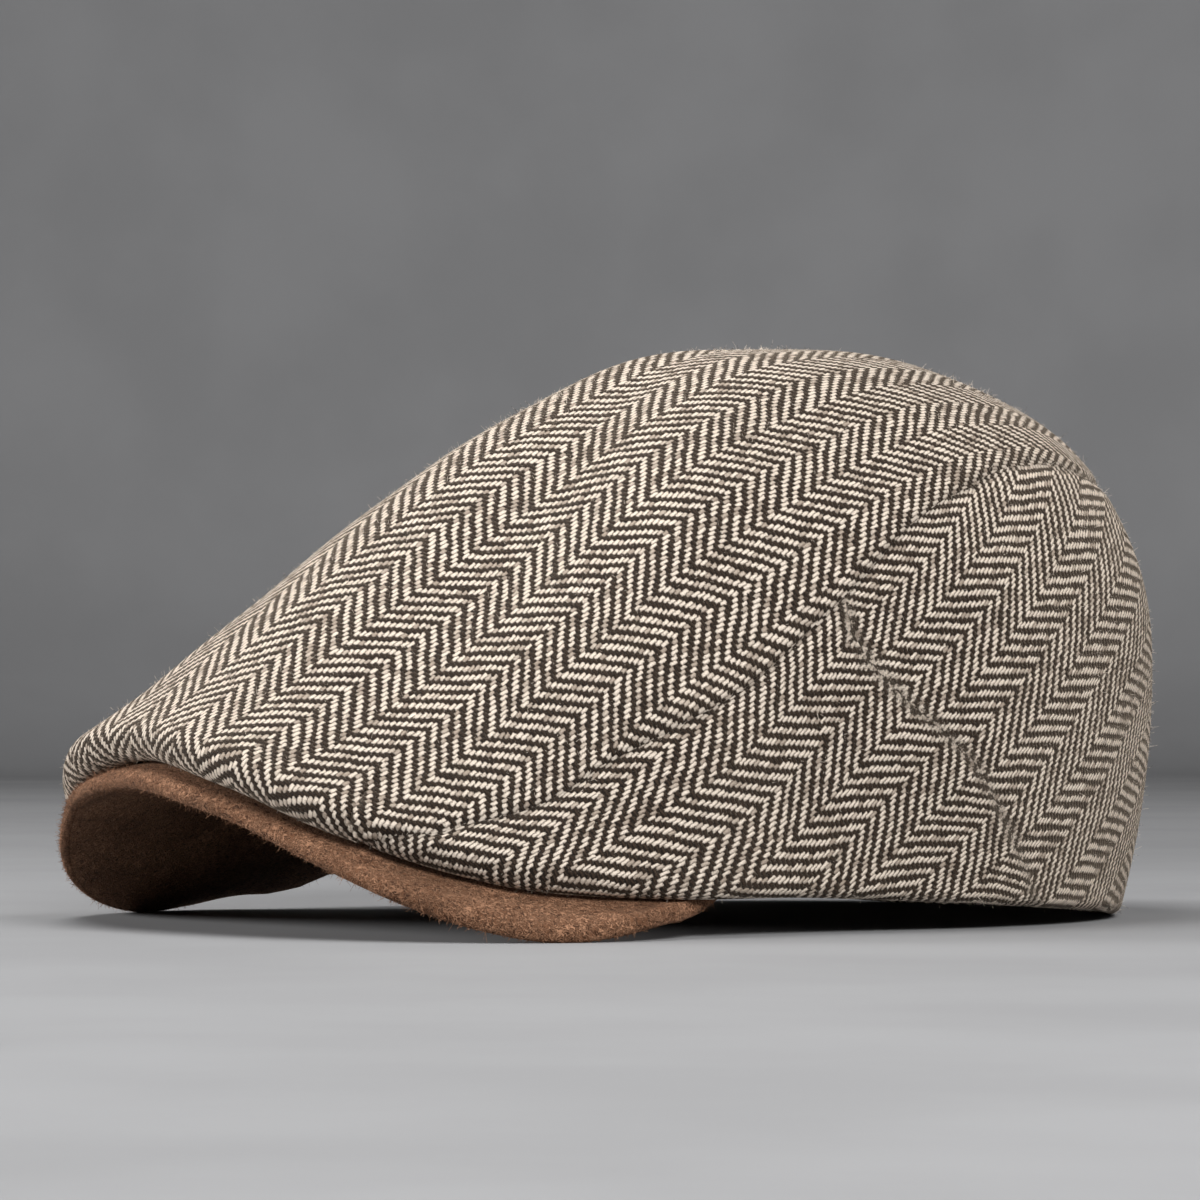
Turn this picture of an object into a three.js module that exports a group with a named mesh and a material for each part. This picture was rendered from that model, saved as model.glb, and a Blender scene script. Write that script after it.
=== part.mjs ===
import * as THREE from "three";
import { toCreasedNormals } from "three/addons/utils/BufferGeometryUtils.js";

// Sizes of the cap, in millimetres
const HEIGHT = 136;
const FRONT_REACH = 160;
const BACK_REACH = 91;
const SIDE_REACH = 93;
const TOP_BEHIND_MIDDLE = 32.5;
const HEM_ROLL = 5;
const PEAK_OVERHANG = 14.5;
const PEAK_DROOP = 5.7;
const PEAK_DEPTH = 49;
const PEAK_CLIMB = 18;

// Thicknesses and clearances, in millimetres
const WOOL_WALL = 2;
const SUEDE_WALL = 2;
const EDGE_ROUND = 1.4;
const GAP = 0.35;
const SEAT_GAP = 0.6;

// Sections of the crown, by angle round its top from the front (0) to the back (180). Reach is a
// share of the plan reaches, hem and rise are shares of HEIGHT, lean is in degrees outwards,
// shoulder is a share of the section's own reach and roll is a share of HEM_ROLL.
const SECTIONS = [
  { angle: 0, reach: 1.0, hem: 0.317, rise: 0.45, lean: -52, shoulder: 0.385, roll: 1 },
  { angle: 20, reach: 1.052, hem: 0.279, rise: 0.45, lean: -58, shoulder: 0.376, roll: 1.08 },
  { angle: 35, reach: 1.101, hem: 0.2, rise: 0.45, lean: -55, shoulder: 0.384, roll: 1.02 },
  { angle: 50, reach: 1.13, hem: 0.117, rise: 0.44, lean: -36, shoulder: 0.435, roll: 0.87 },
  { angle: 62, reach: 1.113, hem: 0.092, rise: 0.441, lean: -20, shoulder: 0.5, roll: 0.78 },
  { angle: 74, reach: 1.003, hem: 0.084, rise: 0.457, lean: -5, shoulder: 0.63, roll: 0.68 },
  { angle: 90, reach: 0.973, hem: 0.065, rise: 0.521, lean: 3, shoulder: 0.725, roll: 0.6 },
  { angle: 110, reach: 0.947, hem: 0.051, rise: 0.59, lean: 7, shoulder: 0.83, roll: 0.6 },
  { angle: 130, reach: 0.943, hem: 0.037, rise: 0.651, lean: 11, shoulder: 0.921, roll: 0.6 },
  { angle: 155, reach: 0.952, hem: 0.02, rise: 0.689, lean: 17, shoulder: 0.959, roll: 0.6 },
  { angle: 180, reach: 0.972, hem: 0.02, rise: 0.656, lean: 22, shoulder: 0.895, roll: 0.6 },
];

// Height of the seam under the top panel, as a share of the way from the start of the slope to
// the top. Values below zero lie on the hem's roll, which ends at -ROLL_SPAN.
const ROLL_SPAN = 0.15;
const TOP_SEAM = [
  { angle: 37, height: -0.13 },
  { angle: 41, height: -0.05 },
  { angle: 46, height: 0.025 },
  { angle: 52, height: 0.08 },
  { angle: 57, height: 0.14 },
  { angle: 63, height: 0.19 },
  { angle: 69, height: 0.24 },
  { angle: 79, height: 0.355 },
  { angle: 89, height: 0.465 },
  { angle: 98, height: 0.5 },
  { angle: 112, height: 0.535 },
  { angle: 126, height: 0.535 },
  { angle: 144, height: 0.505 },
  { angle: 180, height: 0.46 },
];

// Upright seam between each side panel and the back panel: angle at the top seam, angle at the
// hem, and how strongly the seam bows between them
const BACK_SEAM = { top: 79, hem: 102, bow: 2.1 };

// Sections of the peak, by the same angle. Overhang, droop, depth and climb are shares of the
// sizes of the same names, and thickness is a share of SUEDE_WALL.
const PEAK = [
  { angle: 0, overhang: 0.5, droop: 0.35, depth: 1, climb: 0.54, thickness: 1 },
  { angle: 15, overhang: 0.4, droop: 0.34, depth: 0.98, climb: 0.65, thickness: 1 },
  { angle: 25, overhang: 0.36, droop: 0.36, depth: 0.96, climb: 0.8, thickness: 1 },
  { angle: 33, overhang: 0.48, droop: 0.43, depth: 0.94, climb: 0.93, thickness: 1 },
  { angle: 43, overhang: 0.79, droop: 0.68, depth: 0.92, climb: 1, thickness: 1 },
  { angle: 50, overhang: 0.94, droop: 0.9, depth: 0.86, climb: 0.95, thickness: 1 },
  { angle: 56, overhang: 0.98, droop: 1, depth: 0.76, climb: 0.84, thickness: 1 },
  { angle: 60, overhang: 0.86, droop: 0.6, depth: 0.67, climb: 0.72, thickness: 1 },
  { angle: 63, overhang: 0.5, droop: 0.03, depth: 0.58, climb: 0.62, thickness: 1 },
  { angle: 64.3, overhang: -0.04, droop: 0, depth: 0.54, climb: 0.58, thickness: 0.95 },
  { angle: 65.5, overhang: -0.2, droop: -0.35, depth: 0.5, climb: 0.54, thickness: 0.85 },
  { angle: 67, overhang: -0.33, droop: -0.8, depth: 0.46, climb: 0.5, thickness: 0.75 },
  { angle: 68.5, overhang: -0.42, droop: -1.15, depth: 0.42, climb: 0.46, thickness: 0.7 },
];

// Columns and rows of facets
const TOP_ROWS = 14;
const SIDE_ROWS = 12;
const ROLL_ROWS = 3;
const PEAK_ROWS = [0, 0.33, 0.67, 1];
const FRONT_ANGLES = [0, 5, 10, 15, 20, 25, 29, 33, 36.5, 37];
const SIDE_ANGLES = [38.5, 41, 43.5, 46, 49, 52, 54.5, 57, 60, 63, 66, 68.5, 71, 73.5, 76];
const BACK_ANGLES = [79, 84, 89, 94, 100, 106, 112, 119, 126, 135, 144, 153, 162, 171, 180];
const PEAK_ANGLES = [...FRONT_ANGLES, ...SIDE_ANGLES.slice(0, 10), 64.3, 65.5, 67, 68.5];

const degrees = THREE.MathUtils.degToRad;
const mix = THREE.MathUtils.lerp;

// Smooth curve through one column of a table, level at its ends
function along(rows, column, angle) {
  const last = rows.length - 1;
  const slope = (i) => {
    if (i === 0 || i === last) return 0;
    const before = rows[i - 1];
    const after = rows[i + 1];
    return (after[column] - before[column]) / (after.angle - before.angle);
  };
  let i = 0;
  while (i < last - 1 && angle > rows[i + 1].angle) i += 1;
  const span = rows[i + 1].angle - rows[i].angle;
  const t = (angle - rows[i].angle) / span;
  const start = rows[i][column] * (1 + 2 * t) * (1 - t) ** 2 + slope(i) * span * t * (1 - t) ** 2;
  const end = rows[i + 1][column] * t * t * (3 - 2 * t) - slope(i + 1) * span * t * t * (1 - t);
  return start + end;
}

// Angle from the front, the same on both sides
function fromFront(angle) {
  return Math.abs(((angle + 180) % 360) - 180);
}

// Plan direction and lengths of the crown's section at a signed angle, positive to the wearer's left
function section(angle) {
  const turn = degrees(angle);
  const value = (column) => along(SECTIONS, column, fromFront(angle));
  const forward = Math.cos(turn) > 0 ? FRONT_REACH : BACK_REACH;
  const plan = new THREE.Vector2(SIDE_REACH * Math.sin(turn), -forward * Math.cos(turn));
  const reach = plan.length() * value("reach");
  return {
    direction: plan.normalize(),
    reach,
    hem: HEIGHT * value("hem"),
    rise: HEIGHT * value("rise"),
    lean: degrees(value("lean")),
    shoulder: reach * value("shoulder"),
    roll: HEM_ROLL * value("roll"),
  };
}

function placed(direction, out, z) {
  return new THREE.Vector3(direction.x * out, TOP_BEHIND_MIDDLE + direction.y * out, z);
}

// Point on the outside of the crown: height -ROLL_SPAN to 0 runs up the hem's roll, 0 to 1 up the slope
function crownPoint(angle, height) {
  const s = section(angle);
  const out = s.reach + s.roll * Math.cos(s.lean);
  const low = s.hem - s.roll * Math.sin(s.lean);
  if (height < 0) {
    const turn = mix(-s.lean, -Math.PI / 2, -height / ROLL_SPAN);
    return placed(s.direction, s.reach + s.roll * Math.cos(turn), s.hem + s.roll * Math.sin(turn));
  }
  const left = 1 - height;
  const shares = [left ** 3, 3 * height * left ** 2, 3 * height ** 2 * left, height ** 3];
  const outs = [out, out + s.rise * Math.sin(s.lean), s.shoulder, 0];
  const heights = [low, low + s.rise * Math.cos(s.lean), HEIGHT, HEIGHT];
  const sum = (values) => values.reduce((total, value, i) => total + value * shares[i], 0);
  return placed(s.direction, sum(outs), sum(heights));
}

function crownNormal(angle, height) {
  if (height > 0.999) return new THREE.Vector3(0, 0, 1);
  const step = 0.002;
  const above = Math.min(height + step, 1);
  const below = Math.max(height - step, -ROLL_SPAN);
  const round = crownPoint(angle + step, height).sub(crownPoint(angle - step, height));
  const up = crownPoint(angle, above).sub(crownPoint(angle, below));
  return round.cross(up).normalize();
}

// Cloth lies flat where it would reach below the floor
function onFloor(point) {
  return new THREE.Vector3(point.x, point.y, Math.max(point.z, 0));
}

function woolPair(angle, height) {
  const outer = crownPoint(angle, height);
  const inner = outer.clone().addScaledVector(crownNormal(angle, height), -WOOL_WALL);
  return { outer: onFloor(outer), inner };
}

// Closed sheet from columns of outer and inner points; one that goes all the way round has its
// last row gathered in a single point
function sheet(columns, goesRound) {
  const positions = [];
  const corners = [];
  const known = new Map();
  const vertex = (p) => {
    const key = [p.x, p.y, p.z].map((value) => value.toFixed(4)).join();
    if (!known.has(key)) {
      known.set(key, positions.length / 3);
      positions.push(p.x, p.y, p.z);
    }
    return known.get(key);
  };
  const triangle = (a, b, c) => {
    if (a !== b && b !== c && c !== a) corners.push(a, b, c);
  };
  const quad = (a, b, c, d) => {
    triangle(a, b, c);
    triangle(a, c, d);
  };
  const outer = columns.map((column) => column.map((pair) => vertex(pair.outer)));
  const inner = columns.map((column) => column.map((pair) => vertex(pair.inner)));
  const count = columns.length;
  const last = columns[0].length - 1;
  for (let i = 0; i < (goesRound ? count : count - 1); i += 1) {
    const n = (i + 1) % count;
    for (let j = 0; j < last; j += 1) {
      quad(outer[i][j], outer[n][j], outer[n][j + 1], outer[i][j + 1]);
      quad(inner[i][j], inner[i][j + 1], inner[n][j + 1], inner[n][j]);
    }
    quad(outer[n][0], outer[i][0], inner[i][0], inner[n][0]);
    if (!goesRound) quad(outer[n][last], inner[n][last], inner[i][last], outer[i][last]);
  }
  if (!goesRound) {
    for (let j = 0; j < last; j += 1) {
      quad(outer[0][j], outer[0][j + 1], inner[0][j + 1], inner[0][j]);
      quad(outer[count - 1][j], inner[count - 1][j], inner[count - 1][j + 1], outer[count - 1][j + 1]);
    }
  }
  const geometry = new THREE.BufferGeometry();
  geometry.setAttribute("position", new THREE.Float32BufferAttribute(positions, 3));
  geometry.setIndex(corners);
  return geometry;
}

// Half the gap at a seam, as a share of the slope's length and as an angle
function seamShare(angle) {
  return (0.75 * GAP) / (crownPoint(angle, 0).distanceTo(crownPoint(angle, 1)));
}

function seamAngle(angle) {
  return THREE.MathUtils.radToDeg((0.75 * GAP) / section(angle).reach);
}

function topSeam(angle) {
  return along(TOP_SEAM, "height", fromFront(angle));
}

function topPanel() {
  const half = [...FRONT_ANGLES, ...SIDE_ANGLES, ...BACK_ANGLES];
  const angles = [...half.slice(1, -1).reverse().map((angle) => -angle), ...half];
  const columns = angles.map((angle) => {
    const atHem = Math.abs(angle) < TOP_SEAM[0].angle;
    const start = atHem ? -ROLL_SPAN : topSeam(angle) + seamShare(angle);
    const bend = Math.max(0, start + 0.04);
    return Array.from({ length: TOP_ROWS + 1 }, (_, j) => {
      if (j < ROLL_ROWS) return woolPair(angle, mix(start, bend, j / ROLL_ROWS));
      return woolPair(angle, mix(bend, 1, (j - ROLL_ROWS) / (TOP_ROWS - ROLL_ROWS)));
    });
  });
  return sheet(columns, true);
}

// Row of a lower panel: the roll takes the first three rows, the slope up to the top seam the rest
function lowerHeight(j, angle) {
  const seam = topSeam(angle) - seamShare(angle);
  const rollTop = Math.min(mix(-ROLL_SPAN, seam, 0.6), 0);
  if (j < ROLL_ROWS) return mix(-ROLL_SPAN, rollTop, j / ROLL_ROWS);
  return mix(rollTop, seam, (j - ROLL_ROWS) / (SIDE_ROWS - ROLL_ROWS));
}

function backSeam(j) {
  const share = Math.max(j - ROLL_ROWS, 0) / (SIDE_ROWS - ROLL_ROWS);
  return mix(BACK_SEAM.top, BACK_SEAM.hem, (1 - share) ** BACK_SEAM.bow);
}

// Panel below the top seam; its columns run from one end angle to the other in each row, in step
// with the angles given for the top row
function lowerPanel(topAngles, side, endsAt) {
  const first = topAngles[0];
  const last = topAngles[topAngles.length - 1];
  const columns = topAngles.map((topAngle) => {
    return Array.from({ length: SIDE_ROWS + 1 }, (_, j) => {
      const [start, end] = endsAt(j);
      const angle = mix(start, end, (topAngle - first) / (last - first));
      return woolPair(side * angle, lowerHeight(j, angle));
    });
  });
  return sheet(side > 0 ? columns : columns.reverse(), false);
}

function sidePanel(side) {
  const end = BACK_SEAM.top - seamAngle(BACK_SEAM.top);
  return lowerPanel([...SIDE_ANGLES, end], side, (j) => {
    return [SIDE_ANGLES[0], backSeam(j) - seamAngle(backSeam(j))];
  });
}

function backPanel() {
  const start = BACK_SEAM.top + seamAngle(BACK_SEAM.top);
  const half = [start, ...BACK_ANGLES.slice(1)];
  const topAngles = [...half, ...half.slice(0, -1).reverse().map((angle) => 360 - angle)];
  return lowerPanel(topAngles, 1, (j) => {
    const rowStart = backSeam(j) + seamAngle(backSeam(j));
    return [rowStart, 360 - rowStart];
  });
}

// Upper face of the peak at one angle: edge, seat under the hem, and inner edge
function peakSection(angle) {
  const s = section(angle);
  const value = (column) => along(PEAK, column, fromFront(angle));
  const seat = s.hem - s.roll - SEAT_GAP;
  return {
    direction: s.direction,
    edge: s.reach + PEAK_OVERHANG * value("overhang"),
    edgeTop: seat - PEAK_DROOP * value("droop"),
    seat: s.reach,
    seatTop: seat,
    inner: s.reach - PEAK_DEPTH * value("depth"),
    innerTop: seat + PEAK_CLIMB * value("climb"),
    wall: SUEDE_WALL * value("thickness"),
  };
}

// Height of the upper face at a distance out from the top: seat to edge, or edge to inner edge
function peakTop(s, out) {
  if (s.edge > s.seat && out > s.seat) {
    return mix(s.seatTop, s.edgeTop, (out - s.seat) / (s.edge - s.seat));
  }
  const start = Math.min(s.edge, s.seat);
  const startTop = s.edge > s.seat ? s.seatTop : s.edgeTop;
  return mix(startTop, s.innerTop, (start - out) / (start - s.inner));
}

function peakColumn(angle, isUnder) {
  const s = peakSection(angle);
  const drop = isUnder ? s.wall + GAP : 0;
  const pair = (out, cut) => {
    const upper = peakTop(s, out) - drop - (isUnder ? 0 : cut);
    const lower = peakTop(s, out) - drop - s.wall + (isUnder ? cut : 0);
    return {
      outer: onFloor(placed(s.direction, out, upper)),
      inner: onFloor(placed(s.direction, out, lower)),
    };
  };
  const rounded = [pair(s.edge, 0.6 * s.wall), pair(s.edge - EDGE_ROUND / 2, 0.18 * s.wall)];
  const full = s.edge - EDGE_ROUND;
  const bend = Math.min(s.seat, full - 1);
  const visible = [0, 0.5].map((share) => pair(mix(full, bend, share), 0));
  const hidden = PEAK_ROWS.map((share) => pair(mix(bend, s.inner, share), 0));
  return [...rounded, ...visible, ...hidden];
}

function peakCover(isUnder) {
  const angles = [...PEAK_ANGLES.slice(1).reverse().map((angle) => -angle), ...PEAK_ANGLES];
  return sheet(angles.map((angle) => peakColumn(angle, isUnder)), false);
}

function piece(name, geometry, colour) {
  const material = new THREE.MeshStandardMaterial({ color: colour, roughness: 0.9, metalness: 0 });
  const mesh = new THREE.Mesh(toCreasedNormals(geometry, degrees(40)), material);
  mesh.name = name;
  return mesh;
}

const WOOL_COLOUR = 0x8f857a;
const SUEDE_COLOUR = 0x8a6a55;

const cap = new THREE.Group();
cap.add(piece("top_panel", topPanel(), WOOL_COLOUR));
cap.add(piece("side_panel_left", sidePanel(1), WOOL_COLOUR));
cap.add(piece("side_panel_right", sidePanel(-1), WOOL_COLOUR));
cap.add(piece("back_panel", backPanel(), WOOL_COLOUR));
cap.add(piece("peak_cover", peakCover(false), SUEDE_COLOUR));
cap.add(piece("peak_under_cover", peakCover(true), SUEDE_COLOUR));

export default cap;
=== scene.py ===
"""Herringbone wool flat cap with a suede peak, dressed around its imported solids.

Lengths are in millimetres and angles in degrees. Angles go round the crown from the front (0) over
the wearer's left (90) to the back (180).
"""

import math

import bmesh
import bpy
import numpy as np
from mathutils import Matrix, Vector


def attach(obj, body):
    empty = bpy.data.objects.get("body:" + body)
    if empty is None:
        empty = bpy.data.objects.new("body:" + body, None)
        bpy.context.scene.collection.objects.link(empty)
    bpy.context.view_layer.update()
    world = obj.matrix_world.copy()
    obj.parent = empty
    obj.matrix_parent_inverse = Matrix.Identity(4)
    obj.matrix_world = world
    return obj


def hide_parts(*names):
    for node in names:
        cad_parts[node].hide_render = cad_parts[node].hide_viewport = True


MM = 0.001

# Sizes of the cap
HEIGHT = 136
FRONT_REACH = 160
BACK_REACH = 91
SIDE_REACH = 93
TOP_BEHIND_MIDDLE = 32.5
HEM_ROLL = 5
PEAK_OVERHANG = 14.5
PEAK_DROOP = 5.7
PEAK_DEPTH = 49
PEAK_CLIMB = 18
WOOL_WALL = 1.7
SUEDE_WALL = 2
EDGE_ROUND = 2.2
EDGE_WRAP = 4
COVER_GAP = 0.1
SEAT_GAP = 0.6
SEAM_GAP = 0.02


def named_rows(columns, *rows):
    """A short table as a dictionary of its columns."""
    return dict(zip(columns.split(), np.array(rows, float).T))


# Sections of the crown: shares of the sizes above, with lean in degrees outwards
SECTIONS = named_rows(
    "angle reach hem rise lean shoulder roll",
    (0, 1.0, 0.317, 0.45, -52, 0.385, 1),
    (20, 1.052, 0.279, 0.45, -58, 0.376, 1.08),
    (35, 1.101, 0.2, 0.45, -55, 0.384, 1.02),
    (50, 1.13, 0.117, 0.44, -36, 0.435, 0.87),
    (62, 1.113, 0.092, 0.441, -20, 0.5, 0.78),
    (74, 1.003, 0.084, 0.457, -5, 0.63, 0.68),
    (90, 0.973, 0.065, 0.521, 3, 0.725, 0.6),
    (110, 0.947, 0.051, 0.59, 7, 0.83, 0.6),
    (130, 0.943, 0.037, 0.651, 11, 0.921, 0.6),
    (155, 0.952, 0.02, 0.689, 17, 0.959, 0.6),
    (180, 0.972, 0.02, 0.656, 22, 0.895, 0.6),
)

# Height of the seam under the top panel, as a share of the slope; below zero it lies on the roll
ROLL_SPAN = 0.15
TOP_SEAM = named_rows(
    "angle height",
    (37, -0.13),
    (41, -0.05),
    (46, 0.025),
    (52, 0.08),
    (57, 0.14),
    (63, 0.19),
    (69, 0.24),
    (79, 0.355),
    (89, 0.465),
    (98, 0.5),
    (112, 0.535),
    (126, 0.535),
    (144, 0.505),
    (180, 0.46),
)
SIDE_START = 37
TIP_WIDTH = 0.1
FAR = 99
BACK_SEAM_TOP = 79
BACK_SEAM_HEM = 102
BACK_SEAM_BOW = 2.1

# Sections of the peak: shares of the peak's sizes
PEAK_END = 68.5
PEAK = named_rows(
    "angle overhang droop depth climb thickness",
    (0, 0.5, 0.35, 1, 0.54, 1),
    (15, 0.4, 0.34, 0.98, 0.65, 1),
    (25, 0.36, 0.36, 0.96, 0.8, 1),
    (33, 0.48, 0.43, 0.94, 0.93, 1),
    (43, 0.79, 0.68, 0.92, 1, 1),
    (50, 0.94, 0.9, 0.86, 0.95, 1),
    (56, 0.98, 1, 0.76, 0.84, 1),
    (60, 0.86, 0.6, 0.67, 0.72, 1),
    (63, 0.5, 0.03, 0.58, 0.62, 1),
    (64.3, -0.04, 0, 0.54, 0.58, 0.95),
    (65.5, -0.2, -0.35, 0.5, 0.54, 0.85),
    (67, -0.33, -0.8, 0.46, 0.5, 0.75),
    (68.5, -0.42, -1.15, 0.42, 0.46, 0.7),
)

# The cloth: a two-by-two twill whose direction turns back after every column of warp threads
COLUMN_WIDTH = 12
WEFT_SHARE = 0.86
FLOAT_REPEAT = 4
TOP_THREADS = 11
SIDE_THREADS = 13
BACK_THREADS = 12

# Where panels meet, and how the cloth lies
TOP_SEAM_DIP = 0.9
FRONT_SEAM_DIP = 0.6
BACK_SEAM_DIP = 0.12
SEAM_SPREAD = 1.8
PUCKER = 0.16
PUCKER_SPREAD = 7
PUCKER_LENGTH = 9
UNEVENNESS = 0.35
UNEVEN_LENGTH = 42
CURL = 80
FRONT_DIP_UNTIL = 85
TOP_DIP_FROM = 125
EVEN_ABOVE_HEM = 0.12

# How finely the pieces are divided
TOP_ROWS = 90
SIDE_COLUMNS = 80
BACK_COLUMNS = 170
LOWER_ROWS = 60
LOW_ROWS_SHARE = 0.4
PEAK_COLUMNS = 220
PEAK_WAYS = 32
TUCK_STATIONS = 5
BEND_STATIONS = 15
PATTERN_STEPS = 48
NORMAL_STEP = 0.002
NORMAL_TURN = 0.2
BELOW_POLE = 0.999
POLE = 0.9999
SAME_POINT = 1e-6

# Loose fibres of the wool and of the nap
FIBRES = 12000
WOOL_FIBRE_WIDTH = 0.045
WOOL_FIBRE_SHORTEST = 0.65
WOOL_FIBRE_LONGEST = 2.4
WOOL_FIBRE_ROOT = 0.4
NAP_FIBRE_WIDTH = 0.055
NAP_FIBRE_SHORTEST = 0.45
NAP_FIBRE_ROOT = 0.3
NAP_BAND = 5
FIBRE_BEND = 0.35
FIBRE_TAPER = 0.6

# The camera of the photograph: place, direction and lens
CAMERA_PLACE = (1089.3, -705.0, 55.4)
CAMERA_AZIMUTH = 57.41
CAMERA_ELEVATION = -0.87
CAMERA_SENSOR = 36
CAMERA_LENS = 164.9


# Curves through the tables
def along(table, column, angle):
    """Smooth curve through one column of a table, level at its ends."""
    at, values = table["angle"], table[column]
    slopes = np.zeros(len(at))
    slopes[1:-1] = (values[2:] - values[:-2]) / (at[2:] - at[:-2])
    i = np.clip(np.searchsorted(at, angle) - 1, 0, len(at) - 2)
    span = at[i + 1] - at[i]
    t = (angle - at[i]) / span
    start = values[i] * (1 + 2 * t) * (1 - t) ** 2 + slopes[i] * span * t * (1 - t) ** 2
    end = values[i + 1] * t * t * (3 - 2 * t) - slopes[i + 1] * span * t * t * (1 - t)
    return start + end


def mix(start, end, share):
    return start + (end - start) * share


def step_between(low, high, value):
    """0 below low, 1 above high, smooth between."""
    t = np.clip((value - low) / (high - low), 0, 1)
    return t * t * (3 - 2 * t)


def from_front(angle):
    return np.abs((angle + 180) % 360 - 180)


# The crown's shape
class Section:
    """Plan direction and lengths of the crown at each of several angles."""

    def __init__(self, angle):
        turn = np.radians(angle)
        front = from_front(angle)
        forward = np.where(np.cos(turn) > 0, FRONT_REACH, BACK_REACH)
        plan_x, plan_y = SIDE_REACH * np.sin(turn), -forward * np.cos(turn)
        length = np.hypot(plan_x, plan_y)
        self.x, self.y = plan_x / length, plan_y / length
        self.reach = length * along(SECTIONS, "reach", front)
        self.hem = HEIGHT * along(SECTIONS, "hem", front)
        self.rise = HEIGHT * along(SECTIONS, "rise", front)
        self.lean = np.radians(along(SECTIONS, "lean", front))
        self.shoulder = self.reach * along(SECTIONS, "shoulder", front)
        self.roll = HEM_ROLL * along(SECTIONS, "roll", front)

    def placed(self, out, z):
        return np.stack([self.x * out, TOP_BEHIND_MIDDLE + self.y * out, z], axis=-1)


def crown_point(angle, height):
    """Points on the outside of the crown.

    Height 0 to 1 runs up the slope, 0 to -ROLL_SPAN round the hem's roll, and from there to twice
    that it curls in under the hem.
    """
    s = Section(angle)
    rolled = np.clip(-height / ROLL_SPAN, 0, 1)
    curled = np.clip(-height / ROLL_SPAN - 1, 0, 1)
    turn = mix(-s.lean, -math.pi / 2, rolled) - math.radians(CURL) * curled
    roll_out, roll_z = s.reach + s.roll * np.cos(turn), s.hem + s.roll * np.sin(turn)
    h = np.clip(height, 0, 1)
    out, low = s.reach + s.roll * np.cos(s.lean), s.hem - s.roll * np.sin(s.lean)
    near, middle, far, top = (1 - h) ** 3, 3 * h * (1 - h) ** 2, 3 * h * h * (1 - h), h**3
    slope_out = out * near + (out + s.rise * np.sin(s.lean)) * middle + s.shoulder * far
    slope_z = low * near + (low + s.rise * np.cos(s.lean)) * middle + HEIGHT * (far + top)
    on_roll = height < 0
    return s.placed(np.where(on_roll, roll_out, slope_out), np.where(on_roll, roll_z, slope_z))


def crown_normal(angle, height):
    high = np.minimum(height + NORMAL_STEP, BELOW_POLE)
    low = np.maximum(np.minimum(height, BELOW_POLE) - NORMAL_STEP, -2 * ROLL_SPAN)
    middle = (high + low) / 2
    round_it = crown_point(angle + NORMAL_TURN, middle) - crown_point(angle - NORMAL_TURN, middle)
    normal = np.cross(round_it, crown_point(angle, high) - crown_point(angle, low))
    return normal / np.linalg.norm(normal, axis=-1, keepdims=True)


def flat_pattern(angle, height):
    """The crown spread flat round its top: each point keeps its direction and its way from the top."""
    heights = mix(height[..., None], 1, np.linspace(0, 1, PATTERN_STEPS))
    way = crown_point(angle[..., None] * np.ones(PATTERN_STEPS), heights)
    length = np.linalg.norm(np.diff(way, axis=-2), axis=-1).sum(axis=-1)
    s = Section(angle)
    return length * s.x, length * s.y


def top_seam(angle):
    return along(TOP_SEAM, "height", np.maximum(from_front(angle), TOP_SEAM["angle"][0]))


def back_seam(up):
    """Angle of the upright seam in each row of the panels below the top seam."""
    angle = np.full_like(up, BACK_SEAM_TOP)
    for _ in range(8):
        share = np.clip(lower_height(angle, up) / top_seam(angle), 0, 1)
        angle = mix(BACK_SEAM_TOP, BACK_SEAM_HEM, (1 - share) ** BACK_SEAM_BOW)
    return angle


# Waves of the cloth, the same in every run
def waves(seed, points, length):
    """Smooth uneven values between about -1 and 1, that change over the given length."""
    random = np.random.RandomState(seed)
    total = np.zeros(points.shape[:-1])
    count = 14
    for _ in range(count):
        direction = random.normal(size=3)
        direction *= 2 * math.pi / (length * random.uniform(0.7, 1.6) * np.linalg.norm(direction))
        total += np.sin(points @ direction + random.uniform(0, 2 * math.pi))
    return total / math.sqrt(count)


def laid_cloth(angle, height, to_top, to_back):
    """Crown points with their dip into the seams, puckers and slight unevenness.

    At the top all angles give the same point, so that the panel closes there.
    """
    angle = np.where(height < POLE, angle, 0)
    point, normal = crown_point(angle, height), crown_normal(angle, height)
    backwards = step_between(FRONT_DIP_UNTIL, TOP_DIP_FROM, from_front(angle))
    deep = mix(FRONT_SEAM_DIP, TOP_SEAM_DIP, backwards)
    dip = deep * np.exp(-((to_top / SEAM_SPREAD) ** 2))
    dip = np.maximum(dip, BACK_SEAM_DIP * np.exp(-((to_back / SEAM_SPREAD) ** 2)))
    near = np.exp(-np.minimum(to_top, to_back) / PUCKER_SPREAD)
    pucker = PUCKER * near * waves(5, point, PUCKER_LENGTH)
    free = step_between(0, EVEN_ABOVE_HEM, height)
    uneven = UNEVENNESS * free * (waves(8, point, UNEVEN_LENGTH) - 1)
    point = point + normal * (uneven + pucker - dip)[..., None]
    point[..., 2] = np.maximum(point[..., 2], 0)
    return point


def apart(angle, height, other_angle, other_height):
    """Distance between points of the crown."""
    return np.linalg.norm(crown_point(angle, height) - crown_point(other_angle, other_height), axis=-1)


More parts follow.
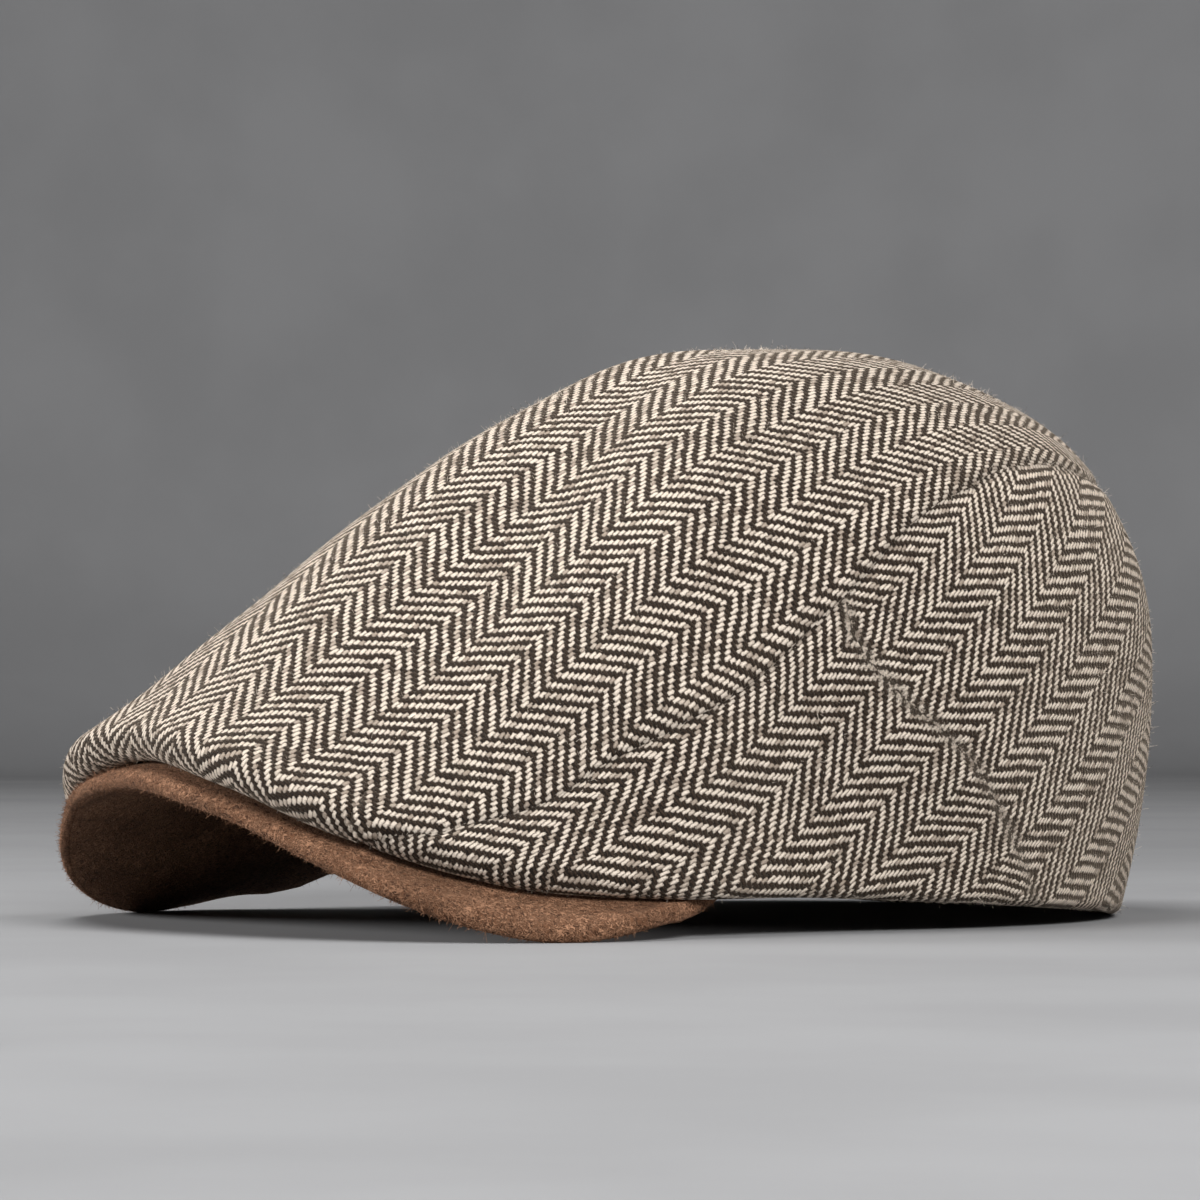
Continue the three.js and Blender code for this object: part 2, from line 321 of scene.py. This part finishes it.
# How each panel is cut from the cloth: across and along its herringbone columns, in millimetres
COLUMN_PHASE = 1
NARROWING = 0.0033
NARROWS_FROM = -46
NARROWS_OVER = 20
SIDE_BEND = 0.26
SIDE_BENDS_FROM = -96
SIDE_BENDS_OVER = 12
SIDE_ALONG = 0.56
SIDE_SLANT = 0.57
SIDE_TWIST = 0.0045
SIDE_MIDDLE = -50
SIDE_FAN = 0.0012
SIDE_FLARE = 0.0007
SIDE_SWEEP = 0.001
BACK_STRETCH = 1.04
BACK_BEND = 31.3
BACK_BEND_EASE = 2.2
BACK_PHASE = 10
BACK_TURN = 70
BACK_FLARE = 0.42
PANEL_REACH = 140


def cut_top(sideways, back):
    """Columns that run front to back and draw together towards the back."""
    past = (back - NARROWS_FROM) / NARROWS_OVER
    share = 1 - NARROWING * NARROWS_OVER * np.log1p(np.exp(past))
    slope = -NARROWING / (1 + np.exp(-past))
    return sideways / share + COLUMN_PHASE, back + slope / share * sideways**2 / 2


def cut_side(sideways, back):
    """Columns that follow the top panel's at the front and rise towards the back."""
    past = (back - SIDE_BENDS_FROM) / SIDE_BENDS_OVER
    rise = SIDE_BEND * SIDE_BENDS_OVER * np.log1p(np.exp(past))
    out, behind = np.abs(sideways) - PANEL_REACH, back - SIDE_MIDDLE
    spread = SIDE_FLARE * out**2 - SIDE_FAN * out * behind + SIDE_SWEEP * behind**2
    lengthways = (SIDE_ALONG - SIDE_TWIST * out) * back - SIDE_SLANT * out
    return np.abs(sideways) + rise + spread + COLUMN_PHASE, lengthways


def cut_back(sideways, back):
    """Columns that run round the back, level at its middle."""
    turn = np.arctan2(sideways, back)
    radius = np.hypot(sideways, back)
    across = BACK_STRETCH * radius - BACK_BEND * turn**2 + BACK_BEND_EASE * turn**4 + BACK_PHASE
    return across, -BACK_TURN * turn - BACK_FLARE * (radius - PANEL_REACH) * np.sin(turn)


# Pieces from grids
def grid_piece(name, columns, rows, place, closed=False):
    """A piece from one grid. place(across, up) gives the points and the values of its maps.

    Its open edges stay sharp. A closed piece has them filled.
    """
    mesh = bmesh.new()
    bmesh.ops.create_grid(mesh, x_segments=columns, y_segments=rows, size=0.5)
    shares = np.array([vertex.co[:2] for vertex in mesh.verts]) + 0.5
    points, maps = place(shares[:, 0], shares[:, 1])
    for vertex, point in zip(mesh.verts, points):
        vertex.co = point * MM
    for map_name, values in maps.items():
        layer = mesh.loops.layers.uv.new(map_name)
        for face in mesh.faces:
            for loop in face.loops:
                loop[layer].uv = values[loop.vert.index]
    bmesh.ops.remove_doubles(mesh, verts=mesh.verts, dist=SAME_POINT)
    rims = [edge for edge in mesh.edges if edge.is_boundary]
    for edge in rims:
        edge.smooth = False
    if closed:
        bmesh.ops.holes_fill(mesh, edges=rims, sides=0)
        bmesh.ops.recalc_face_normals(mesh, faces=mesh.faces)
    return finished(name, mesh)


def finished(name, mesh):
    """A smooth object from a bmesh."""
    for face in mesh.faces:
        face.smooth = True
    data = bpy.data.meshes.new(name)
    mesh.to_mesh(data)
    mesh.free()
    piece = bpy.data.objects.new(name, data)
    bpy.context.scene.collection.objects.link(piece)
    return piece


def thread_counts(cut, threads, angle, height):
    across, lengthways = cut(*flat_pattern(angle, height))
    warp_pitch = COLUMN_WIDTH / threads
    return np.stack([across / warp_pitch, lengthways / (WEFT_SHARE * warp_pitch)], axis=-1)


def wool_panel(name, columns, rows, shape, cut, threads):
    """A sewn wool panel: shape(across, up) gives angle, height and the distances to its seams."""

    def place(across, up):
        angle, height, to_top, to_back = shape(across, up)
        weave = thread_counts(cut, threads, angle, height)
        seams = np.stack([to_top, to_back], axis=-1)
        return laid_cloth(angle, height, to_top, to_back), {"weave": weave, "seams": seams}

    piece = grid_piece(name, columns, rows, place)
    wall = piece.modifiers.new("wall", "SOLIDIFY")
    wall.thickness = WOOL_WALL * MM
    wall.offset = -1
    wall.use_even_offset = False
    return piece


def slope_share(angle):
    """The gap at a seam, as a share of the slope's length."""
    return SEAM_GAP / apart(angle, np.zeros_like(angle), angle, np.ones_like(angle))


TOP_COLUMNS = np.linspace(-180, 180, 361)
TIP = np.array([SIDE_START - TIP_WIDTH, SIDE_START + TIP_WIDTH])
TOP_COLUMNS = np.sort(np.concatenate([TOP_COLUMNS[np.abs(TOP_COLUMNS) != SIDE_START], TIP, -TIP]))


def top_shape(across, up):
    angle = TOP_COLUMNS[np.rint(across * (len(TOP_COLUMNS) - 1)).astype(int)]
    at_hem = from_front(angle) < SIDE_START
    seam = top_seam(angle) + slope_share(angle)
    start = np.where(at_hem, -2 * ROLL_SPAN, seam)
    height = mix(start, 1, LOW_ROWS_SHARE * up + (1 - LOW_ROWS_SHARE) * up**2)
    to_top = apart(angle, height, angle, start) + np.where(at_hem, FAR, 0)
    return angle, height, to_top, np.full_like(to_top, FAR)


def lower_height(angle, up):
    return mix(-2 * ROLL_SPAN, top_seam(angle) - slope_share(angle), up)


def side_shape(side):
    """The panel of one side, 1 or -1. Both run round the same way, so that both face outwards."""

    def shape(across, up):
        end = back_seam(up) - np.degrees(SEAM_GAP / SIDE_REACH)
        angle = mix(SIDE_START + TIP_WIDTH, end, across if side > 0 else 1 - across)
        height = lower_height(angle, up)
        to_top = apart(angle, height, angle, top_seam(angle))
        to_back = apart(angle, height, end, height)
        return side * angle, height, to_top, to_back

    return shape


def back_shape(across, up):
    start = back_seam(up) + np.degrees(SEAM_GAP / SIDE_REACH)
    angle = mix(start, 360 - start, across)
    height = lower_height(angle, up)
    to_top = apart(angle, height, angle, top_seam(angle))
    to_sides = np.minimum(apart(angle, height, start, height), apart(angle, height, 360 - start, height))
    return angle, height, to_top, to_sides


# The peak
def peak_stations(under):
    """The loop of one cover's section, out along its upper face and back along its lower one.

    Each station is the share of the way out to the wrapped edge, the way past that in millimetres,
    and the depth as a share of both covers' thickness. The upper cover wraps round the edge.
    """
    ways = np.linspace(0, 1, PEAK_WAYS)
    tucks = np.linspace(0.2, 1, TUCK_STATIONS)
    flat = EDGE_WRAP - EDGE_ROUND
    gap = COVER_GAP / (2 * SUEDE_WALL)
    face = [(way, 0, 0.5) for way in ways]
    tuck = [(1, flat * share, 0.5 + 0.5 * share**2) for share in tucks]
    if under:
        start = [(0, 0, 0.75)]
        upper = [(way, 0, depth + gap) for way, _, depth in face]
        tucked = [(way, past - COVER_GAP, depth + gap) for way, past, depth in tuck]
        lower = [(way, 0, 1) for way in ways[::-1]]
        return np.array(start + upper + tucked + lower + start)
    start = [(0, 0, 0.25)]
    top = [(way, 0, 0) for way in ways] + [(1, flat * share, 0) for share in (0.4, 0.8)]
    bends = np.linspace(0, math.pi, BEND_STATIONS)
    edge = [(1, flat + EDGE_ROUND * math.sin(bend), (1 - math.cos(bend)) / 2) for bend in bends]
    return np.array(start + top + edge + (face + tuck)[-2::-1] + start)


def peak_cover(name, under):
    stations = peak_stations(under)

    def place(across, up):
        angle = mix(-PEAK_END, PEAK_END, across)
        way, past, depth = stations[np.rint(up * (len(stations) - 1)).astype(int)].T
        s = Section(angle)
        value = {column: along(PEAK, column, from_front(angle)) for column in PEAK}
        seat_z = s.hem - s.roll - SEAT_GAP
        edge = s.reach + PEAK_OVERHANG * value["overhang"]
        edge_z = seat_z - PEAK_DROOP * value["droop"]
        inner = s.reach - PEAK_DEPTH * value["depth"]
        inner_z = seat_z + PEAK_CLIMB * value["climb"]
        out = mix(inner, edge - EDGE_WRAP, way) + past
        beyond = edge > s.reach
        over_seat = mix(seat_z, edge_z, (out - s.reach) / np.where(beyond, edge - s.reach, 1))
        turn, turn_z = np.minimum(edge, s.reach), np.where(beyond, seat_z, edge_z)
        below_seat = mix(turn_z, inner_z, (turn - out) / (turn - inner))
        top = np.where((out > s.reach) & beyond, over_seat, below_seat)
        thickness = 2 * SUEDE_WALL * value["thickness"] + COVER_GAP
        return s.placed(out, np.maximum(top - thickness * depth, 0)), {}

    return grid_piece(name, PEAK_COLUMNS, len(stations) - 1, place, closed=True)


# Loose fibres
def fibres(name, roots, normals, lengths, width, seed, lie):
    """Fine bent hairs that stand from the roots, as one curve piece. lie is how flat they lie."""
    random = np.random.RandomState(seed)
    sideways = np.cross(normals, random.normal(size=roots.shape))
    sideways /= np.linalg.norm(sideways, axis=-1, keepdims=True)
    bend = np.cross(sideways, random.normal(size=roots.shape))
    curve = bpy.data.curves.new(name, "CURVE")
    curve.dimensions = "3D"
    curve.bevel_depth = width * MM
    curve.bevel_resolution = 0
    steps = np.linspace(0, 1, 3)
    lean = lie + random.uniform(-0.3, 0.3, len(roots))
    for i, length in enumerate(lengths):
        spline = curve.splines.new("POLY")
        spline.points.add(len(steps) - 1)
        heading = normals[i] * (1 - lean[i]) + sideways[i] * lean[i]
        for point, t in zip(spline.points, steps):
            place = roots[i] + length * (heading * t + FIBRE_BEND * bend[i] * t * t)
            place[2] = max(place[2], 0.1)
            point.co = (*(place * MM), 1)
            point.radius = 1 - FIBRE_TAPER * t
    piece = bpy.data.objects.new(name, curve)
    bpy.context.scene.collection.objects.link(piece)
    return piece


def wool_fibres(name, middle, seed):
    """Hairs on the half of the crown round the middle angle, more of them low down."""
    random = np.random.RandomState(seed)
    tries = 6 * FIBRES
    angle = random.uniform(middle - 90, middle + 90, tries)
    height = random.uniform(-0.14, 0.98, tries)
    points = crown_point(angle, height)
    weight = np.hypot(points[:, 0], points[:, 1] - TOP_BEHIND_MIDDLE) / FRONT_REACH
    kept = np.nonzero(random.uniform(0, 0.9, tries) < weight)[0][:FIBRES]
    angle, height = angle[kept], height[kept]
    normals = crown_normal(angle, height)
    roots = crown_point(angle, height) - (UNEVENNESS + WOOL_FIBRE_ROOT) * normals
    lengths = random.gamma(2.0, 0.28, len(kept)) + WOOL_FIBRE_SHORTEST
    lengths = np.minimum(lengths, WOOL_FIBRE_LONGEST)
    return fibres(name, roots, normals, lengths, WOOL_FIBRE_WIDTH, seed + 1, lie=0.55)


def nap_fibres(cover):
    """Short hairs on the outer edge of the suede, rooted on the cover's own faces."""
    random = np.random.RandomState(31)
    faces = [face for face in cover.data.polygons if face.area > 1e-9]
    places = np.array([face.center[:] for face in faces]) / MM
    normals = np.array([face.normal[:] for face in faces])
    front = np.degrees(np.arctan2(places[:, 0], TOP_BEHIND_MIDDLE - places[:, 1]))
    reach = np.hypot(places[:, 0], places[:, 1] - TOP_BEHIND_MIDDLE)
    edge = np.array([reach[np.abs(front - a) < 1.5].max() for a in front])
    outer = np.nonzero(reach > edge - NAP_BAND)[0]
    area = np.array([faces[i].area for i in outer])
    chosen = random.choice(outer, FIBRES, p=area / area.sum())
    scatter = random.uniform(-0.4, 0.4, (FIBRES, 3))
    roots = places[chosen] + scatter - NAP_FIBRE_ROOT * normals[chosen]
    lengths = random.gamma(3.0, 0.15, FIBRES) + NAP_FIBRE_SHORTEST
    return fibres("nap_fibres", roots, normals[chosen], lengths, NAP_FIBRE_WIDTH, 32, lie=0.45)


# Shader maths
class Term:
    """A socket of a material, with maths written as plain expressions."""

    def __init__(self, finish, socket):
        self.finish, self.socket = finish, socket

    def maths(self, operation, *others):
        values = {i + 1: other for i, other in enumerate(others)}
        return self.finish.node("ShaderNodeMath", {"operation": operation}, {0: self, **values})

    def reflected(self, operation, other):
        return self.finish.node("ShaderNodeMath", {"operation": operation}, {0: other, 1: self})

    def __add__(self, other):
        return self.maths("ADD", other)

    def __sub__(self, other):
        return self.maths("SUBTRACT", other)

    def __mul__(self, other):
        return self.maths("MULTIPLY", other)

    def __truediv__(self, other):
        return self.maths("DIVIDE", other)

    def __mod__(self, other):
        return self.maths("FLOORED_MODULO", other)

    def __pow__(self, other):
        return self.maths("POWER", other)

    def __lt__(self, other):
        return self.maths("LESS_THAN", other)

    def __rsub__(self, other):
        return self.reflected("SUBTRACT", other)

    __radd__ = __add__
    __rmul__ = __mul__


def floor(term):
    return term.maths("FLOOR")


def least(first, second):
    return first.maths("MINIMUM", second)


def most(first, second):
    return first.maths("MAXIMUM", second)


class Finish:
    """The nodes of one material."""

    def __init__(self, name):
        self.material = bpy.data.materials.new(name)
        self.material.use_nodes = True
        self.tree = self.material.node_tree
        self.tree.nodes.clear()

    def node(self, kind, settings=None, values=None, output=0):
        """A node of any kind: its settings first, then the values or links of its sockets."""
        made = self.tree.nodes.new(kind)
        for setting, value in (settings or {}).items():
            setattr(made, setting, value)
        for socket, value in (values or {}).items():
            if isinstance(value, Term):
                self.tree.links.new(value.socket, made.inputs[socket])
            else:
                made.inputs[socket].default_value = value
        return Term(self, made.outputs[output])

    def parts(self, vector):
        return [self.node("ShaderNodeSeparateXYZ", values={0: vector}, output=i) for i in range(3)]

    def join(self, x, y, z=0.0):
        return self.node("ShaderNodeCombineXYZ", values={0: x, 1: y, 2: z})

    def noise(self, vector, scale, detail=2.0, distortion=0.0, output=0, roughness=0.5):
        values = {"Vector": vector, "Scale": scale, "Detail": detail}
        values.update({"Roughness": roughness, "Distortion": distortion})
        return self.node("ShaderNodeTexNoise", values=values, output=output)

    def random(self, vector):
        return self.node("ShaderNodeTexWhiteNoise", {"noise_dimensions": "3D"}, {"Vector": vector})

    def spread(self, value, low, high, to_low=0.0, to_high=1.0):
        values = {"Value": value, "From Min": low, "From Max": high}
        values.update({"To Min": to_low, "To Max": to_high})
        return self.node("ShaderNodeMapRange", {"interpolation_type": "SMOOTHSTEP"}, values)

    def mixed(self, share, first, second):
        values = {0: share, 6: first, 7: second}
        return self.node("ShaderNodeMix", {"data_type": "RGBA"}, values, output=2)

    def scaled(self, colour, factor):
        values = {0: colour, "Scale": factor}
        return self.node("ShaderNodeVectorMath", {"operation": "SCALE"}, values)

    def finish(self, colour, roughness, height, depth, shine, sheen=0.0, sheen_tint=(1, 1, 1, 1)):
        """The material from its colour and its relief, which is depth millimetres at height 1."""
        values = {"Strength": 1.0, "Distance": depth * MM, "Height": height}
        bump = self.node("ShaderNodeBump", values=values)
        values = {"Base Color": colour, "Roughness": roughness, "Normal": bump}
        values.update({"Specular IOR Level": shine, "Sheen Weight": sheen})
        values.update({"Sheen Roughness": SHEEN_ROUGHNESS, "Sheen Tint": sheen_tint})
        shader = self.node("ShaderNodeBsdfPrincipled", values=values)
        out = self.tree.nodes.new("ShaderNodeOutputMaterial")
        self.tree.links.new(shader.socket, out.inputs["Surface"])
        return self.material


CREAM = (0.93, 0.81, 0.685, 1)
# CREAM_SHADE: cream in painted shade at the edges and ends of the beads, also the dark end of the
# strands' random mottling
CREAM_SHADE = (0.21, 0.148, 0.105, 1)
UMBER = (0.012, 0.008, 0.006, 1)
# UMBER_LIGHT: the painted highlight along the middle of each weft thread, also the dark end of the loose
# wool fibres
UMBER_LIGHT = (0.07, 0.046, 0.031, 1)
WOOL_SHEEN = (1, 0.82, 0.63, 1)
# SUEDE_DARK: painted shade in the pits of the nap; SUEDE_LIGHT: the curled hairs, lighter hair with a
# painted highlight where they stand up, also the loose nap's light end
SUEDE_DARK = (0.05, 0.021, 0.011, 1)
SUEDE_MIDDLE = (0.15, 0.07, 0.037, 1)
SUEDE_LIGHT = (0.37, 0.195, 0.113, 1)
SUEDE_SHEEN = (1, 0.62, 0.38, 1)
SHEEN_ROUGHNESS = 0.28
THREAD_DRIFT = 1.3
FRAY_ACROSS = 1.1
FRAY_ALONG = 1.4
FRAY_AT_SEAM = 2.2
FLOAT_LENGTH = 1.95
FLOAT_SPREAD = 0.6
FLOAT_CLOUDS = 1.8
WOOL_RELIEF = 0.55
SUEDE_RELIEF = 0.5
HAIR_FINENESS = 17


def herringbone(name, column_threads):
    """Cream warp over a dark brown weft. The map counts warp threads across and weft threads along."""
    f = Finish(name)
    threads = f.node("ShaderNodeUVMap", {"uv_map": "weave"})
    to_top, to_back, _ = f.parts(f.node("ShaderNodeUVMap", {"uv_map": "seams"}))
    seam = f.spread(to_back, 0.2, 3.2, 1, 0)
    drift = f.noise(threads, 0.16, 2.0, output=1)
    fray = f.noise(threads, 1.3, 4.0, output=1, roughness=0.75)
    u, v, _ = f.parts(threads)
    drift_u, drift_v, _ = f.parts(drift)
    fray_u, fray_v, _ = f.parts(fray)
    loose = 1 + FRAY_AT_SEAM * seam
    u = u + (drift_u - 0.5) * THREAD_DRIFT + (fray_u - 0.5) * FRAY_ACROSS * loose
    v = v + (drift_v - 0.5) * THREAD_DRIFT + (fray_v - 0.5) * FRAY_ALONG * loose

    thread = floor(u)
    across = u - thread
    turn = thread % (2 * column_threads)
    rising = turn < column_threads
    climb = least(turn, 2 * column_threads - turn)
    lift = (v + climb + 0.15) % FLOAT_REPEAT
    strand = f.join(thread, floor((v + climb) / FLOAT_REPEAT))
    each = f.random(strand)
    clouds = f.noise(threads, 0.22, 3.0)
    float_length = FLOAT_LENGTH + FLOAT_SPREAD * (each - 0.5) + FLOAT_CLOUDS * (clouds - 0.5)
    cream_on_top = lift < float_length
    along_cream = lift / float_length
    cell = floor(lift)
    along_dark = (across + rising * (cell - 2) + (1 - rising) * (3 - cell)) / 2
    across_dark = lift - cell

    def dome(position):
        return most(1 - (2 * position - 1) ** 2, 0.0)

    bead = dome(across) ** 0.5 * (0.3 + 0.7 * dome(along_cream) ** 0.5)
    weft = 0.5 * dome(across_dark) ** 0.5 * (0.4 + 0.6 * dome(along_dark))
    height = weft + cream_on_top * (bead - weft)

    hairs = f.noise(threads, 4.5, 4.0, roughness=0.75)
    # Painted shade: the cream darkens towards CREAM_SHADE at the edges and ends of each bead, where the
    # beads meet, mixed with random mottling per strand and by the hairs
    bead_shade_and_mottle = f.spread(bead, 0.1, 0.8) * f.spread(each, 0, 0.45, 0.35, 1.0)
    bead_shade_and_mottle = bead_shade_and_mottle * f.spread(hairs, 0.3, 0.62, 0.45, 1.0)
    cream = f.mixed(bead_shade_and_mottle, CREAM_SHADE, CREAM)
    # Painted highlight: each weft thread is lighter along its middle and darker at its sides, where the
    # threads meet, with random mottling by the hairs
    dark = f.mixed(f.spread(hairs * dome(across_dark), 0.25, 0.7), UMBER, UMBER_LIGHT)
    colour = f.mixed(cream_on_top * f.spread(bead, 0.0, 0.3), dark, cream)
    # Painted shade: up to 30 percent darker within about 2.5 mm of the top seam, in the seam's crease
    colour = f.scaled(colour, 1 - 0.3 * f.spread(to_top, 0.2, 2.5, 1, 0))
    relief = height + 0.2 * hairs
    return f.finish(colour, 0.92, relief, WOOL_RELIEF, 0.15, 0.35, WOOL_SHEEN)


def suede():
    """Short brushed nap: soft patches, curled hairs that are lighter with a painted highlight, and
    painted shade in the pits between them.
    """
    f = Finish("brushed_suede")
    place = f.node("ShaderNodeTexCoord", output=3)
    patches = f.noise(place, 55, 3.0, 0.6)
    curls = f.noise(place, 540, 0.6, 1.6)
    finer = f.noise(place, 760, 0.6, 1.6)
    pits = f.noise(place, 900, 2.0, 0.5)
    wide, narrow = most(curls - 0.5, 0.5 - curls), most(finer - 0.5, 0.5 - finer)
    hair = 1 - least(wide, narrow) * HAIR_FINENESS
    strands = f.spread(hair, -0.2, 0.8)
    # Painted shade: the nap darkens towards SUEDE_DARK where the pits sink lowest in the relief
    base = f.mixed(f.spread(pits, 0.32, 0.56), SUEDE_DARK, SUEDE_MIDDLE)
    # The curls are lighter hair, and partly a painted highlight where they stand up in the relief
    colour = f.mixed(strands * f.spread(patches, 0.3, 0.65, 0.45, 0.95), base, SUEDE_LIGHT)
    colour = f.scaled(colour, f.spread(patches, 0.25, 0.75, 0.82, 1.12))
    relief = strands + 0.8 * pits
    return f.finish(colour, 0.9, relief, SUEDE_RELIEF, 0.15, 0.12, SUEDE_SHEEN)


def fibre_finish(name, dark, light):
    f = Finish(name)
    place = f.node("ShaderNodeTexCoord", output=3)
    tone = f.spread(f.noise(place, 900, 1.0), 0.4, 0.55)
    return f.finish(f.mixed(tone, dark, light), 0.85, tone, 0.01, 0.2)


def plain(name, colour):
    f = Finish(name)
    place = f.node("ShaderNodeTexCoord", output=3)
    grain = f.noise(place, 9, 4.0)
    tone = f.spread(grain, 0.3, 0.7, 0.94, 1.05)
    return f.finish(f.scaled(colour, tone), 0.7, grain, 0.3, 0.5)


# The studio
def studio():
    """Pale floor that turns up into a wall all round, outside the camera's circle."""
    mesh = bmesh.new()
    floor_reach, bend, wall = 2.05, 0.25, 2.6
    turns = np.linspace(0, math.pi / 2, 9)
    arc = [(floor_reach + bend * math.sin(turn), bend - bend * math.cos(turn)) for turn in turns]
    line = [(0.0, 0.0), *arc, (floor_reach + bend, wall)]
    verts = [mesh.verts.new((x, 0, z)) for x, z in line]
    edges = [mesh.edges.new(pair) for pair in zip(verts, verts[1:])]
    whole = {"cent": (0, 0, 0), "axis": (0, 0, 1), "angle": 2 * math.pi, "steps": 96}
    bmesh.ops.spin(mesh, geom=verts + edges, use_merge=True, **whole)
    bmesh.ops.remove_doubles(mesh, verts=mesh.verts, dist=1e-5)
    bmesh.ops.recalc_face_normals(mesh, faces=mesh.faces)
    floor_piece = finished("studio_floor", mesh)
    floor_piece.data.materials.append(plain("studio_paint", (0.25, 0.25, 0.255)))


def soft_light(name, place, aim, size, power):
    light = bpy.data.lights.new(name, "AREA")
    light.shape = "DISK"
    light.size = size
    light.energy = power
    lamp = bpy.data.objects.new(name, light)
    bpy.context.scene.collection.objects.link(lamp)
    lamp.location = place
    lamp.rotation_euler = (Vector(aim) - Vector(place)).to_track_quat("-Z", "Y").to_euler()


def lights():
    soft_light("overhead", (-0.2, -0.25, 1.2), (0, 0, 0.05), 0.8, 11.5)
    soft_light("front_rim", (-1.0, -1.3, 0.5), (0, 0, 0.05), 0.6, 31)
    soft_light("camera_side", (1.2, -0.1, 0.95), (0, 0, 0.05), 0.8, 24)
    soft_light("backdrop", (-0.7, 0.5, 0.9), (-1.7, 1.1, 0.4), 0.5, 3)
    world = bpy.data.worlds.new("studio_air")
    world.use_nodes = True
    background = world.node_tree.nodes["Background"]
    background.inputs[0].default_value = (1, 1, 1, 1)
    background.inputs[1].default_value = 0.03
    bpy.context.scene.world = world


def camera():
    azimuth, elevation = math.radians(CAMERA_AZIMUTH), math.radians(CAMERA_ELEVATION)
    right = Vector((math.cos(azimuth), math.sin(azimuth), 0))
    level = Vector((math.sin(azimuth), -math.cos(azimuth), 0))
    back = level * math.cos(elevation) + Vector((0, 0, math.sin(elevation)))
    turn = Matrix((right, back.cross(right), back)).transposed()
    lens = bpy.data.cameras.new("camera")
    lens.lens, lens.sensor_width = CAMERA_LENS, CAMERA_SENSOR
    eye = bpy.data.objects.new("camera", lens)
    bpy.context.scene.collection.objects.link(eye)
    eye.matrix_world = Matrix.Translation(Vector(CAMERA_PLACE) * MM) @ turn.to_4x4()
    bpy.context.scene.camera = eye


def dress(piece, finish, node=None):
    """Gives a piece its finish and its body, and hides the solid that it stands for."""
    piece.data.materials.append(finish)
    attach(piece, "root")
    if node:
        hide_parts(node)


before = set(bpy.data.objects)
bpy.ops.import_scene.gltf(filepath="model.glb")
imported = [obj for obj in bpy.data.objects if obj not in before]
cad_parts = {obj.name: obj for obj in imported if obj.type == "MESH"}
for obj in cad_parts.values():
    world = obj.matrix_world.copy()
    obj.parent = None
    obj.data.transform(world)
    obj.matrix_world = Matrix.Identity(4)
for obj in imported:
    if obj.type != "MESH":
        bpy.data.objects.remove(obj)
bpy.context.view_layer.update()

side_wool = herringbone("herringbone_sides", SIDE_THREADS)
top = wool_panel("top_wool", len(TOP_COLUMNS) - 1, TOP_ROWS, top_shape, cut_top, TOP_THREADS)
dress(top, herringbone("herringbone_top", TOP_THREADS), "top_panel")
for side, sign in (("left", 1), ("right", -1)):
    piece_name, shape = "side_wool_" + side, side_shape(sign)
    panel = wool_panel(piece_name, SIDE_COLUMNS, LOWER_ROWS, shape, cut_side, SIDE_THREADS)
    dress(panel, side_wool, "side_panel_" + side)
back = wool_panel("back_wool", BACK_COLUMNS, LOWER_ROWS, back_shape, cut_back, BACK_THREADS)
dress(back, herringbone("herringbone_back", BACK_THREADS), "back_panel")

nap = suede()
upper_suede = peak_cover("peak_suede", under=False)
under_suede = peak_cover("peak_under_suede", under=True)
dress(upper_suede, nap, "peak_cover")
dress(under_suede, nap, "peak_under_cover")

loose_wool = fibre_finish("loose_wool", UMBER_LIGHT, CREAM)
dress(wool_fibres("front_fibres", 0, 21), loose_wool)
dress(wool_fibres("back_fibres", 180, 23), loose_wool)
dress(nap_fibres(upper_suede), fibre_finish("loose_nap", SUEDE_MIDDLE, SUEDE_LIGHT))

studio()
lights()
camera()
bpy.context.scene.view_settings.view_transform = "Standard"
